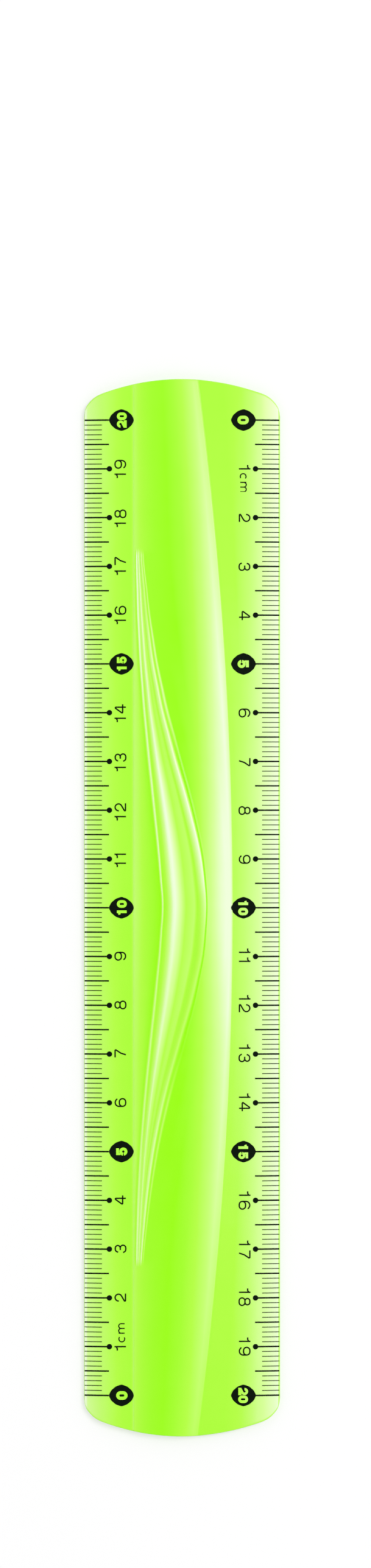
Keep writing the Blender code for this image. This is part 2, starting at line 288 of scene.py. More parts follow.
def wave_columns(y):
    """Left to right: (share of the wave's width, rise above the dome, paleness with painted light).
    """
    swell = bell(y, *SWELL_BELL)
    early = 27 / 4 * swell * (1 - swell) ** 2

    def mix(tip, middle, third=0):
        """From tip to middle. The third value is added where the wave has swollen by a third."""
        return tip + (middle - tip) * swell + third * early

    lip, ridge = along_strip(LEFT_LIP_HIGHLIGHT, y), along_strip(LEFT_RIDGE_HIGHLIGHT, y)
    far_ridge, far_lip = along_strip(RIGHT_RIDGE_HIGHLIGHT, y), along_strip(RIGHT_LIP_SHADE_AND_HIGHLIGHT, y)
    # Each column's paleness is painted light: pale crests are painted highlights, deep lime feet and
    # lip lines are painted shade, and the dome just right of the wave is dimmed near the tips as a
    # painted shadow.
    return (
        (mix(-0.25, -0.085), 0, dome_pale(wave_edges(y)[0], y) * mix(0.70, 0.80, 0.45)),
        (mix(-0.11, -0.035), 0, mix(0.15, 0.02)),
        (0, LIP_RISE, lip),
        (mix(0.12, 0.025), VALLEY_RISE, mix(0.85, 0.07, -0.35)),
        (mix(0.20, 0.100, -0.03), VALLEY_RISE * 2, mix(0.38, 0.28)),
        (mix(0.275, 0.185, -0.04), RIDGE_RISE * 2 / 3, mix(0.66, 0.62) * ridge),
        (mix(0.32, 0.235, -0.04), RIDGE_RISE, 0.94 * ridge),
        (mix(0.35, 0.285, -0.06), RIDGE_RISE, 1.02 * ridge),
        (mix(0.385, 0.345, -0.07), RIDGE_RISE * 5 / 6, mix(0.75, 0.84, -0.05) * ridge),
        (mix(0.43, 0.42, -0.07), RIDGE_RISE / 2, mix(0.45, 0.62, -0.05)),
        (mix(0.47, 0.52, -0.07), VALLEY_RISE, mix(0.36, 0.31, -0.04)),
        (mix(0.50, 0.64, -0.03), RIDGE_RISE / 5, mix(0.40, 0.39)),
        (mix(0.52, 0.71, -0.03), RIDGE_RISE / 5, mix(0.34, 0.46, -0.06)),
        (mix(0.545, 0.785, -0.03), VALLEY_RISE, mix(0.26, 0.19)),
        (mix(0.575, 0.84), RIDGE_RISE / 2, mix(0.66, 0.47) * far_ridge),
        (mix(0.66, 0.91), RIDGE_RISE, mix(0.85, 0.78) * far_ridge),
        (mix(0.74, 0.97, -0.045), RIDGE_RISE, far_ridge),
        (mix(0.89, 0.985, -0.03), LIP_RISE / 2, mix(0.06, 0.02)),
        (1, LIP_RISE, far_lip),
        (mix(1.12, 1.02), 0, dome_pale(wave_edges(y)[1], y) * mix(0.6, 1.12)),
    )


print(f"{len(wave_columns(0))} columns across the wave")
print(f"ridges {RIDGE_RISE / MM:.2f} mm high, and {TIP_RISE_SHARE:.0%} of that at the tips")

# %% [markdown]
# Columns run the length of the strip, one along each feature, so that a crease or a pale line
# follows its feature exactly. An even grid would need many more to draw lines this fine. The edges
# carry two of them: on the left a white one just inside the rounding, a painted highlight along the
# edge, and on the right a rim of deeper lime. A rim's pairs hold how far in a column lies, and its
# paleness.

# %% Columns of the edges
# The left rim's white line is a painted highlight along the edge.
LEFT_RIM_HIGHLIGHT = ((0, 0.35), (EDGE_ROUND, 0.90), (0.0004, 1.00))
RIGHT_RIM = ((0, 0.30), (EDGE_ROUND, 0.42), (0.0003, 0.45), (0.0004, 0.98))
BEVEL_INSETS = (0.0007, 0.0018, 0.0030, BEVEL_WIDTH)
LEFT_BAND_INSETS = (0.0060, 0.0080, 0.0098)


def edge_points(side, rim, insets, y):
    """From the edge inwards: the rounding, the rim's fine line, the bevel and the band."""
    points = [(side * HALF_WIDTH, EDGE_HEIGHT - EDGE_ROUND, rim[0][1], None)]
    for inset, pale in rim[1:]:
        x = side * (HALF_WIDTH - inset)
        points.append((x, bevel_z(x), pale, None))
    for inset in insets:
        x = side * (HALF_WIDTH - inset)
        points.append((x, bevel_z(x), band_pale(x, y), None))
    return points


print(f"{len(edge_points(1, RIGHT_RIM, BEVEL_INSETS, 0))} columns from the right edge to the band")

# %% [markdown]
# A crease holds the surface to a column where the real moulding has a sharp line. It is strongest
# on the bowed edge and softest on the wave's lip. A wave crease is named by the number of its
# column, counted from the left. The wave fades into the dome at its tips.

# %% Columns of the whole section
STEP_SHARES = (0.2, 0.45, 0.72)
DOME_SHARES = (0.15, 0.35, 0.55, 0.75, 0.94)
BAND_SHARES = (0.10, 0.40, 0.70)
# The step's foot carries a painted highlight, and on the bow's crest line the dome's painted
# highlight is dimmed to a share.
STEP_FOOT_HIGHLIGHT = 0.40
BOW_TOP_HIGHLIGHT = 0.74
WAVE_CREASES = {2: "lip", 18: "lip", 19: "wave end"}
CREASED = {
    "step foot": 0.8, "step top": 0.8, "lip": 0.6, "wave end": 0.9, "bow top": 1.0, "bow foot": 1.0,
}


def wave_points(y):
    left, right = wave_edges(y)
    fade = max(0, min(1, (WAVE_REACH - abs(y)) / WAVE_FADE))
    height = fade * (TIP_RISE_SHARE + (1 - TIP_RISE_SHARE) * bell(y, *SWELL_BELL))
    points = []
    for number, (share, rise, pale) in enumerate(wave_columns(y)):
        x = left + (right - left) * share
        shown = dome_pale(x, y) * (1 - fade) + pale * fade
        points.append((x, dome_z(x, y) + rise * height, shown, WAVE_CREASES.get(number)))
    return points


def section(y):
    """Across the strip at y, left to right: (x, z, pale, name of a crease or None)."""
    points = edge_points(-1, LEFT_RIM_HIGHLIGHT, BEVEL_INSETS + LEFT_BAND_INSETS, y)
    step_top = DOME_LEFT_X + DOME_STEP_RUN
    points.append((DOME_LEFT_X, BAND_HEIGHT, STEP_FOOT_HIGHLIGHT, "step foot"))
    points.append((step_top, dome_z(step_top, y), dome_pale(step_top, y), "step top"))
    waves = wave_points(y)
    for share in STEP_SHARES:
        x = step_top + (waves[0][0] - step_top) * share
        points.append((x, dome_z(x, y), dome_pale(x, y), None))
    points += waves
    wave_x, bow_x = waves[-1][0], dome_right_x(y)
    for share in DOME_SHARES:
        x = wave_x + (bow_x - wave_x) * share
        points.append((x, dome_z(x, y), dome_pale(x, y), None))
    bow_foot = bow_x + DOME_STEP_RUN / 2
    points.append((bow_x, dome_z(bow_x, y), dome_pale(bow_x, y) * BOW_TOP_HIGHLIGHT, "bow top"))
    points.append((bow_foot, BAND_HEIGHT, band_pale(bow_foot, y), "bow foot"))
    for share in BAND_SHARES:
        x = bow_foot + (BAND_X - bow_foot) * share
        points.append((x, BAND_HEIGHT, band_pale(x, y), None))
    return points + edge_points(1, RIGHT_RIM, BEVEL_INSETS, y)[::-1]


print(f"{len(section(0))} columns across the strip")

# %% [markdown]
# Both ends of the ruler are rounded: a shallow crown arc that runs into two tight corners. Cutting
# a box off by that outline would leave uneven faces, which a subdivision doesn't smooth well. So the
# rows of the mesh follow the outline instead.

# %% Outline of the ends
END_CROWN_RADIUS = 0.047
END_CORNER_RADIUS = 0.005


def outline_y(x):
    """How far the rounded end reaches at x."""
    crown_y = HALF_LENGTH - END_CROWN_RADIUS
    corner_x = HALF_WIDTH - END_CORNER_RADIUS
    corner_y = crown_y + math.sqrt((END_CROWN_RADIUS - END_CORNER_RADIUS) ** 2 - corner_x**2)
    meet_x = corner_x * END_CROWN_RADIUS / (END_CROWN_RADIUS - END_CORNER_RADIUS)
    if abs(x) <= meet_x:
        return crown_y + math.sqrt(END_CROWN_RADIUS**2 - x**2)
    out = min(abs(x) - corner_x, END_CORNER_RADIUS)
    return corner_y + math.sqrt(END_CORNER_RADIUS**2 - out**2)


print(f"an end falls back {(outline_y(0) - outline_y(HALF_WIDTH)) / MM:.1f} mm towards the edges")

# %% [markdown]
# Along the strip a piece needs only three rows: its two seams and the slit between them. A
# Subdivision Surface turns them into one smooth curve, at rest and when the piece bends, because
# the surface leaves each seam towards the next row. So the row at the slit is placed where the
# tangents of the two seams meet. Each tip of the wave gets two more rows.
# A row of a rounded end is given by its share of the way in from the outline, by a further inset,
# and by how far it drops below the top.

# %% Rows along the strip
RIM_WIDTH = 0.0003
END_RIM_PALE = 0.38
FOLLOW_STEPS = 3
PAST_RIM = 0.0004
END_ROWS = (
    (0, 0, EDGE_ROUND), (0, EDGE_ROUND, 0), (0, RIM_WIDTH, 0),
    (0, PAST_RIM, 0), (0.2, 0, 0), (0.6, 0, 0),
)


def row(y):
    return [(x, y, z, pale, crease) for x, z, pale, crease in section(y)]


def slit_row(low, y, high):
    """The row at a slit, where the tangents of the two seams meet."""
    points = []
    for before, (x, z, pale, crease), after in zip(section(low), section(y), section(high)):
        far_x = 2 * x - (before[0] + after[0]) / 2
        far_z = 2 * z - (before[1] + after[1]) / 2
        points.append((far_x, y, far_z, pale, crease))
    return points


def end_rows(side, inner_y):
    """From the outline inwards: the edge, its rounding, the rim, and three more rows. A point's
    section depends on its y, and its y on the section's x, so a few steps settle both."""
    shape = section(side * HALF_LENGTH)
    rows = []
    for share, inset, drop in END_ROWS:
        points = []
        for number, (x, z, pale, crease) in enumerate(shape):
            for _ in range(FOLLOW_STEPS):
                reach = outline_y(x) - inset
                y = reach + (abs(inner_y) - reach) * share
                x, z, pale, crease = section(side * y)[number]
            edge = max(EDGE_HEIGHT - EDGE_ROUND, z - drop)
            shown = min(pale, END_RIM_PALE) if 0 < inset <= RIM_WIDTH or drop else pale
            points.append((x, side * y, edge, shown, crease))
        rows.append(points)
    return rows


def piece_rows(index):
    low, high = seams(index)
    hinge = slit_y(index)
    if index == 0:
        return end_rows(-1, hinge) + [row(hinge), row(high)]
    if index == len(SLITS) - 1:
        return [row(low), row(hinge)] + end_rows(1, hinge)[::-1]
    tips = [side * reach for side in (-1, 1) for reach in (WAVE_REACH, WAVE_REACH - WAVE_FADE)]
    inside = sorted(y for y in tips if low < y < high)
    rows = [row(low), slit_row(low, hinge, high), row(high)]
    return sorted(rows + [row(y) for y in inside], key=lambda points: points[0][1])


print(f"rows in each piece: {[len(piece_rows(index)) for index in range(len(SLITS))]}")

# %% [markdown]
# A piece starts as a flat grid, because a grid keeps its rows and columns in order. Each vertex is
# lifted to its place, and the grid is extruded down to the flat underside. Seams, the bottom rim
# and the steps are creased, so that the subdivision keeps them crisp.

# %% Build the strip pieces
SUBDIVISIONS = 3
SHARP_ANGLE = 60


def new_object(name, bm, materials):
    mesh = bpy.data.meshes.new(name)
    bm.to_mesh(mesh)
    bm.free()
    for material in materials:
        mesh.materials.append(material)
    thing = bpy.data.objects.new(name, mesh)
    bpy.context.scene.collection.objects.link(thing)
    return thing


def strip_mesh(rows):
    across, along = len(rows[0]) - 1, len(rows) - 1
    bm = bmesh.new()
    pale = bm.verts.layers.float.new("pale")
    place = bm.verts.layers.float_vector.new("rest_place")
    crease = bm.edges.layers.float.new("crease_edge")
    bmesh.ops.create_grid(bm, x_segments=across, y_segments=along, size=1)
    names = {}
    for vert in bm.verts:
        column = round((vert.co.x + 1) / 2 * across)
        line = round((vert.co.y + 1) / 2 * along)
        x, y, z, value, name = rows[line][column]
        vert.co = (x, y, z)
        vert[pale] = value
        names[vert] = (column, name)
    for edge in bm.edges:
        (column, name), (other, _) = names[edge.verts[0]], names[edge.verts[1]]
        if column == other and name:
            edge[crease] = CREASED[name]
    bottom = bmesh.ops.extrude_face_region(bm, geom=bm.faces[:])
    for vert in bottom["geom"]:
        if isinstance(vert, bmesh.types.BMVert):
            vert.co.z = 0
    bmesh.ops.recalc_face_normals(bm, faces=bm.faces)
    for edge in bm.edges:
        if edge.calc_face_angle(0) > math.radians(SHARP_ANGLE):
            edge[crease] = 1
            edge.smooth = False
    for vert in bm.verts:
        vert[place] = vert.co
    for face in bm.faces:
        face.smooth = True
    return bm


def smooth_surface(thing):
    smooth = thing.modifiers.new("smooth", "SUBSURF")
    smooth.levels = SUBDIVISIONS
    smooth.render_levels = SUBDIVISIONS


print(f"{SUBDIVISIONS} levels of subdivision, {len(CREASED)} kinds of crease")

# %% [markdown]
# The materials are made of nodes. One function turns a web colour to the linear one that a shader
# wants, so that colours can be written as they look, and one adds a node with its settings and
# links.

# %% Helpers for materials
def linear(hex_colour):
    """A web colour, such as #9AFE08, as linear red, green, blue and alpha."""
    shares = [int(hex_colour[start:start + 2], 16) / 255 for start in (1, 3, 5)]
    light = [s / 12.92 if s <= 0.04045 else ((s + 0.055) / 1.055) ** 2.4 for s in shares]
    return (*light, 1.0)


def add_node(tree, kind, settings=None, values=None, links=None):
    node = tree.nodes.new(kind)
    for name, value in (settings or {}).items():
        setattr(node, name, value)
    for name, value in (values or {}).items():
        node.inputs[name].default_value = value
    for name, source in (links or {}).items():
        tree.links.new(source, node.inputs[name])
    return node


def new_material(name):
    material = bpy.data.materials.new(name)
    material.use_nodes = True
    return material, material.node_tree, material.node_tree.nodes["Principled BSDF"]


WHITE = linear("#FFFFFF")
print(f"#808080 is {linear('#808080')[0]:.3f} in linear light")

# %% [markdown]
# Lime PVC. Soft PVC moulded in a polished steel tool shines, with a faint orange peel. The paleness
# of each point, with the highlights and shade painted into it, picks the colour from a ramp, from
# deep lime through the flat bands to the almost white bevels and painted highlights. A soft mottle a
# few millimetres wide breaks it up, as pigment does in a moulding.
# Mottle and peel are noises whose scale is one over their size in metres. They read each point's
# place at rest, so they bend with the strip.

# %% Lime PVC
PALE_COLOURS = (
    (0.00, "#9AFE08"), (0.10, "#A3FE2A"), (0.30, "#B5FE46"), (0.50, "#C5FE72"),
    (0.70, "#D6FE9A"), (0.85, "#E2FEBC"), (1.00, "#EEFFDA"),
)
MOTTLE_SIZE = 0.004
MOTTLE_SHIFT = 0.02
PEEL_SIZE = 0.0006
PEEL_DEPTH = 0.00002
PEEL_STRENGTH = 0.05
PVC_ROUGHNESS = (0.28, 0.30)
PVC_IOR = 1.53
PVC_SPECULAR = 0.4


def lime_pvc():
    material, tree, shader = new_material("lime_soft_pvc_moulded")
    pale = add_node(tree, "ShaderNodeAttribute", {"attribute_name": "pale"})
    place = add_node(tree, "ShaderNodeAttribute", {"attribute_name": "rest_place"})
    mottle = add_node(tree, "ShaderNodeTexNoise", values={"Scale": 1 / MOTTLE_SIZE, "Detail": 2.0},
                      links={"Vector": place.outputs["Vector"]})
    shift = add_node(tree, "ShaderNodeMapRange",
                     values={"To Min": -MOTTLE_SHIFT, "To Max": MOTTLE_SHIFT},
                     links={"Value": mottle.outputs["Fac"]})
    shifted = add_node(tree, "ShaderNodeMath", {"operation": "ADD"},
                       links={0: pale.outputs["Fac"], 1: shift.outputs["Result"]})
    tone = add_node(tree, "ShaderNodeValToRGB", links={"Fac": shifted.outputs["Value"]})
    steps = tone.color_ramp.elements
    while len(steps) < len(PALE_COLOURS):
        steps.new(0.5)
    for step, (position, colour) in zip(steps, PALE_COLOURS):
        step.position = position
        step.color = linear(colour)
    tree.links.new(tone.outputs["Color"], shader.inputs["Base Color"])
    peel = add_node(tree, "ShaderNodeTexNoise", values={"Scale": 1 / PEEL_SIZE, "Detail": 1.0},
                    links={"Vector": place.outputs["Vector"]})
    bump = add_node(tree, "ShaderNodeBump",
                    values={"Strength": PEEL_STRENGTH, "Distance": PEEL_DEPTH},
                    links={"Height": peel.outputs["Fac"]})
    rough = add_node(tree, "ShaderNodeMapRange",
                     values={"To Min": PVC_ROUGHNESS[0], "To Max": PVC_ROUGHNESS[1]},
                     links={"Value": mottle.outputs["Fac"]})
    tree.links.new(rough.outputs["Result"], shader.inputs["Roughness"])
    tree.links.new(bump.outputs["Normal"], shader.inputs["Normal"])
    shader.inputs["IOR"].default_value = PVC_IOR
    shader.inputs["Specular IOR Level"].default_value = PVC_SPECULAR
    return material


LIME_PVC = lime_pvc()
print(f"{len(PALE_COLOURS)} colours from deep lime to pale")

# %% [markdown]
# Each slit now gets its piece of the strip. Its cage stays coarse, and the subdivision that makes
# it smooth stays live, so that it is smooth at every bend.

# %% Make the pieces
strips = []
for index in range(len(SLITS)):
    strip = new_object(f"strip_over_{index:02d}_cm", strip_mesh(piece_rows(index)), [LIME_PVC])
    smooth_surface(strip)
    strips.append(strip)
faces = sum(len(strip.data.polygons) for strip in strips)
print(f"{len(strips)} strip pieces, {faces} faces in the cages")

# %% [markdown]
# The real strip bends everywhere. Each piece's place is baked into its mesh. The piece stands for
# the stretch below its slit, and the last one for both, so the solids of those stretches are hidden.

# %% Bake the pieces and hide the solids they stand for
def lower_upper(index):
    """The two stretches that a slit joins, the one nearer the bottom end first."""
    slit = SLITS[index]
    pair = (slit["parent"], slit["child"])
    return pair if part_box(pair[0])[0].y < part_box(pair[1])[0].y else pair[::-1]


def bend_with_strip(thing):
    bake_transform(thing)


for index, strip in enumerate(strips):
    bend_with_strip(strip)
    if index < len(SLITS) - 1:
        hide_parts(lower_upper(index)[0])
    else:
        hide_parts(*lower_upper(index))
print(f"a piece bends over {(seams(0)[1] - seams(0)[0]) / MM:.0f} mm of strip")

# %% [markdown]
# The scale is printed: a film of dark green ink, thinner than paper. Both scales are the same
# print, turned by half a turn, so that the left one reads upwards and the right one downwards.
# A font's figures would have other shapes, so every figure is drawn with a flat pen: an edge as
# long as the stroke is wide. A straight stroke extrudes the edge, a bend spins it about the bend's
# centre, and at a corner it spins about its own inner end. In this way a figure is a few strokes,
# and each stroke is one clean ribbon.

# %% The pen
SPIN_STEP = 18


def pen_stroke(bm, start, heading, moves, nib):
    """One ribbon of ("line", mm), ("bend", radius mm, degrees left), ("corner", degrees left)
    or ("square", mm). A square turns left at once: it extrudes that far, and its side becomes the
    pen, as wide as it is long."""
    along = Vector((math.cos(math.radians(heading)), math.sin(math.radians(heading)), 0))
    left = Vector((-along.y, along.x, 0))
    middle = Vector((*start, 0))
    ends = [bm.verts.new((middle + left * side * nib / 2) * MM) for side in (1, -1)]
    edge = bm.edges.new(ends)
    for kind, *amounts in moves:
        if kind in ("line", "square"):
            before = max(edge.verts, key=lambda vert: vert.co.dot(left))
            grown = bmesh.ops.extrude_edge_only(bm, edges=[edge])["geom"]
            edge = next(part for part in grown if isinstance(part, bmesh.types.BMEdge))
            bmesh.ops.translate(bm, verts=edge.verts, vec=along * amounts[0] * MM)
            middle += along * amounts[0]
            if kind == "square":
                after = max(edge.verts, key=lambda vert: vert.co.dot(left))
                edge = bm.edges.get((before, after))
                middle = (before.co + after.co) / 2 / MM
                along, left, nib = left, -along, amounts[0]
            continue
        radius, degrees = (nib / 2, amounts[0]) if kind == "corner" else amounts
        centre = middle + left * radius * math.copysign(1, degrees)
        steps = max(1, round(abs(degrees) / SPIN_STEP))
        last = bmesh.ops.spin(bm, geom=[*edge.verts, edge], cent=centre * MM, axis=(0, 0, 1),
                              angle=math.radians(degrees), steps=steps)["geom_last"]
        edge = next(part for part in last if isinstance(part, bmesh.types.BMEdge))
        turn = Matrix.Rotation(math.radians(degrees), 3, "Z")
        middle = centre + turn @ (middle - centre)
        along, left = turn @ along, turn @ left


print(f"a full circle of the pen has {360 // SPIN_STEP} steps")

# %% [markdown]
# The thin figures stand 2.3 mm high and the bold ones of the badges 2 mm. The first number of a
# stroke's start runs along the line of writing, from the middle of the figure, and the second up
# from the foot of the line. A fourth value is the width of a stroke that has its own.

# %% Strokes of the figures
THIN_NIB = 0.26
BOLD_NIB = 0.52
THIN_HEIGHT = 2.04
BOLD_HEIGHT = 1.50
THIN_FIGURES = {
    "1": [((0, -0.12), 90, [("line", 2.34)]),
          ((-0.79, 1.66), 0, [("line", 0.34), ("bend", 0.36, 70)])],
    "2": [((-0.70, 1.34), 95, [("bend", 0.70, -245), ("line", 1.16), ("corner", 150),
                               ("line", 1.40)])],
    "3": [((-0.68, 1.47), 80, [("line", 0.12), ("bend", 0.58, -80), ("line", 0.25),
                               ("bend", 0.51, -180), ("line", 0.40)]),
          ((0.0, 1.05), 0, [("line", 0.17), ("bend", 0.57, -180), ("line", 0.30),
                            ("bend", 0.60, -80), ("line", 0.06)])],
    "4": [((0.94, 0.55), 180, [("line", 1.62), ("corner", -126), ("line", 1.54),
                               ("corner", -144), ("line", 2.02)])],
    "6": [((-0.79, 0.58), -90, [("bend", 0.65, 90), ("line", 0.28), ("bend", 0.65, 180),
                                ("line", 0.28), ("bend", 0.65, 90)]),
          ((-0.79, 0.58), 90, [("line", 0.75), ("bend", 0.75, -70), ("bend", 0.85, -80)])],
    "7": [((-0.75, 2.1), 0, [("line", 1.41), ("corner", -132), ("bend", 4.0, 32)])],
    "8": [((0.15, 1.10), 0, [("bend", 0.50, 180), ("line", 0.30)] * 2),
          ((-0.18, 1.10), 180, [("bend", 0.595, 180), ("line", 0.36)] * 2)],
    "c": [((0.37, 1.04), 140, [("bend", 0.60, degrees) for degrees in (80, 90, 82)])],
    "m": [((-0.97, 0), 90, [("line", 1.22)]),
          ((-0.97, 0.62), 90, [("line", 0.12), ("bend", 0.485, -180), ("line", 0.74)]),
          ((0, 0.62), 90, [("line", 0.12), ("bend", 0.485, -180), ("line", 0.74)])],
}
BOLD_FIGURES = {
    "0": [((0.49, 0.49), 90, [("line", 0.49), ("bend", 0.49, 180)] * 2, 0.58)],
    "1": [((0, -0.26), 90, [("line", 2.02)], 0.56),
          ((-0.57, 1.17), 20, [("line", 0.45)], 0.46)],
    "2": [((-0.49, 1.01), 90, [("bend", 0.49, -243), ("line", 0.82)]),
          ((-0.76, 0.06), 0, [("line", 1.52)], 0.64)],
    "5": [((0.60, 1.50), 180, [("line", 0.85), ("square", 0.37), ("line", 0.25)]),
          ((-0.455, 0.535), 82, [("bend", 0.47, -344)])],
}


def turned(strokes, height):
    """The same figure upside down, as a 9 is to a 6."""
    return [((-across, height - up), heading + 180, moves)
            for (across, up), heading, moves in strokes]


THIN_FIGURES["9"] = turned(THIN_FIGURES["6"], THIN_HEIGHT)
print(f"{len(THIN_FIGURES)} thin figures and {len(BOLD_FIGURES)} bold ones")

# %% [markdown]
# A number is written along the ruler, so that its own right-hand side is the strip's +Y on the left
# scale. A figure is drawn at the origin, moved to its place in the number and then turned onto the
# strip. A thin figure stands in line with its dot, and those of a pair stand before and after it.

# %% Write with the pen
THIN_FOOT_X = -11.70
LONE_PLACE = 0.07
FIGURE_PLACES = {
    11: (-0.87, 0.98), 12: (-1.31, 0.60), 13: (-1.21, 0.80), 14: (-1.15, 0.77),
    16: (-1.06, 1.00), 17: (-0.96, 1.02), 18: (-1.15, 0.77), 19: (-1.10, 0.92),
}
UNIT_PLACES = (("c", 1.60), ("m", 3.74))
UNIT_NIB = 0.21
UNIT_FOOT_X = -11.85
FILM_STEP = 0.25


def onto_strip(bm, verts, y_mm, foot_x_mm):
    """Turns writing made at the origin to read along +Y, with its foot at the given x."""
    bmesh.ops.rotate(bm, verts=verts, cent=(0, 0, 0), matrix=Matrix.Rotation(math.pi / 2, 3, "Z"))
    bmesh.ops.translate(bm, verts=verts, vec=Vector((foot_x_mm, y_mm, 0)) * MM)


def write(bm, text, places, figures, nib, y_mm, foot_x_mm, growth=1.0):
    """Writes each letter at its place. Each further stroke of a letter has a thinner film, so that
    no two coincide."""
    film = bm.verts.layers.deform.verify()
    for letter, place in zip(text, places):
        verts = []
        for number, (start, heading, moves, *own_nib) in enumerate(figures[letter]):
            before = set(bm.verts)
            pen_stroke(bm, start, heading, moves, *(own_nib or [nib]))
            stroke = [vert for vert in bm.verts if vert not in before]
            for vert in stroke:
                vert[film][0] = 1 - FILM_STEP * number
            verts += stroke
        bmesh.ops.scale(bm, verts=verts, vec=(growth, growth, 1))
        bmesh.ops.translate(bm, verts=verts, vec=(place * MM, 0, 0))
        onto_strip(bm, verts, y_mm, foot_x_mm)


print(f"{len(FIGURE_PLACES)} pairs of thin figures, each with its own places")

# %% [markdown]
# Each centimetre line ends in a round dot with a thin number beside it. Each fifth one ends in a
# badge instead, a rounded rhombus. On the ruler the lime shows through it as a bold number. Holes
# in the badge would need a cut round every figure, so the number is a lime film on top of it here.

# %% Dots and badges
LINE_INSET = 0.13
LONG_LINE = 5.0
DOT_RADIUS = 0.55
DOT_SIDES = 24
BADGE_EVERY_CM = 5
BADGE_X = -12.50
BADGE_HALF_LENGTH = 2.54
BADGE_HALF_WIDTH = 2.20
BADGE_CORNER_POWER = 1.66
BADGE_LOBES = 12
BADGE_LOBE_SHARE = 0.015
BADGE_GRID = 48
BOLD_PAIR_PLACES = (-0.82, 0.78)
BOLD_SHIFT = 0.06
LONE_BOLD_GROWTH = 1.15


def badge(bm, y_mm):
    """A grid pulled to a disc, then to a rounded rhombus with a faintly scalloped rim."""
    verts = bmesh.ops.create_grid(bm, x_segments=BADGE_GRID, y_segments=BADGE_GRID, size=1)["verts"]
    for vert in verts:
        a, b = vert.co.x, vert.co.y
        across, up = a * math.sqrt(1 - b * b / 2), b * math.sqrt(1 - a * a / 2)
        turn = math.atan2(up, across)
        power = BADGE_CORNER_POWER
        corner = (abs(math.cos(turn)) ** power + abs(math.sin(turn)) ** power) ** (-1 / power)
        rim = corner * (1 - BADGE_LOBE_SHARE * (1 - math.cos(BADGE_LOBES * turn)) / 2)
        reach = 1 + (rim - 1) * math.hypot(across, up)
        vert.co = (across * reach * BADGE_HALF_LENGTH * MM, up * reach * BADGE_HALF_WIDTH * MM, 0)
    bmesh.ops.translate(bm, verts=verts, vec=Vector((BADGE_X, y_mm, 0)) * MM)


def dot(bm, y_mm):
    circle = bmesh.ops.create_circle(bm, cap_ends=True, segments=DOT_SIDES, radius=DOT_RADIUS * MM)
    x_mm = -HALF_WIDTH / MM + LINE_INSET + LONG_LINE
    bmesh.ops.translate(bm, verts=circle["verts"], vec=Vector((x_mm, y_mm, 0)) * MM)


def numbered_mark(bm, cm):
    """What stands at the inner end of the left scale's centimetre line."""
    y_mm = mark_y(cm) / MM
    if cm % BADGE_EVERY_CM == 0:
        badge(bm, y_mm)
        return
    dot(bm, y_mm)
    if cm == 1:
        write(bm, "1", [0], THIN_FIGURES, THIN_NIB, y_mm, THIN_FOOT_X)
        for letter, place in UNIT_PLACES:
            write(bm, letter, [place], THIN_FIGURES, UNIT_NIB, y_mm, UNIT_FOOT_X)
        return
    places = FIGURE_PLACES.get(cm, [LONE_PLACE])
    write(bm, str(cm), places, THIN_FIGURES, THIN_NIB, y_mm, THIN_FOOT_X)


def badge_number(bm, cm):
    growth = 1 if cm > 9 else LONE_BOLD_GROWTH
    places = BOLD_PAIR_PLACES if cm > 9 else [0]
    foot = BADGE_X + BOLD_HEIGHT * growth / 2 + BOLD_SHIFT
    write(bm, str(cm), places, BOLD_FIGURES, BOLD_NIB, mark_y(cm) / MM, foot, growth)


print(f"{CM_COUNT // BADGE_EVERY_CM + 1} badges on each scale")

# %% [markdown]
# The graduations run in from just inside either edge: short thin lines for the millimetres, and
# longer and thicker ones for the whole and half centimetres.

# %% Graduations
SHORT_LINE = 3.55
CM_LINE_WIDTH = 0.29
HALF_CM_LINE_WIDTH = 0.27
LINE_WIDTH = 0.14
LINE_PARTS = 10
PRINT_SHIFT = 0.10


def line(bm, side, y_mm, length, width):
    verts = bmesh.ops.create_grid(bm, x_segments=LINE_PARTS, y_segments=1, size=0.5)["verts"]
    bmesh.ops.scale(bm, verts=verts, vec=(length * MM, width * MM, 1))
    x_mm = side * (HALF_WIDTH / MM - LINE_INSET - length / 2)
    bmesh.ops.translate(bm, verts=verts, vec=Vector((x_mm, y_mm, 0)) * MM)


def graduations(bm, cm):
    """The lines on either side of a mark, out to half a centimetre, on both edges."""
    for step in range(1 - LINES_PER_CM // 2, 1 + LINES_PER_CM // 2):
        y_mm = (mark_y(cm) + step * CM / LINES_PER_CM) / MM
        if abs(y_mm) > CM_COUNT * CM / MM / 2 + LINE_WIDTH:
            continue
        length = LONG_LINE if step % (LINES_PER_CM // 2) == 0 else SHORT_LINE
        width = {0: CM_LINE_WIDTH, LINES_PER_CM // 2: HALF_CM_LINE_WIDTH}.get(step, LINE_WIDTH)
        for side in (-1, 1):
            line(bm, side, y_mm, length, width)


def both_scales(draw, cm):
    """The left scale's part at a mark, and the right scale's, the same print turned by half a turn.
    Both lie a little to the right of the strip's middle line, as the printing screen was set."""
    bm = bmesh.new()
    draw(bm, CM_COUNT - cm)
    bmesh.ops.rotate(bm, verts=bm.verts, cent=(0, 0, 0), matrix=Matrix.Rotation(math.pi, 3, "Z"))
    draw(bm, cm)
    bmesh.ops.translate(bm, verts=bm.verts, vec=(PRINT_SHIFT * MM, 0, 0))
    return bm


print(f"{2 * (CM_COUNT * LINES_PER_CM + 1)} lines, {LONG_LINE} or {SHORT_LINE} mm long")

# %% [markdown]
# The ink. Screen-printed PVC ink dries to a satin film. Its green is almost black, and a little
# uneven where the mesh of the screen laid down less. A real mesh has its threads less than 0.1 mm
# apart. It is drawn at 0.4 mm, because a finer one wouldn't show.

# %% Printing ink
SCREEN_MESH = 0.0004
INK_COLOURS = ("#050A05", "#0E1C0D")
INK_ROUGHNESS = 0.45
INK_SPECULAR = 0.06


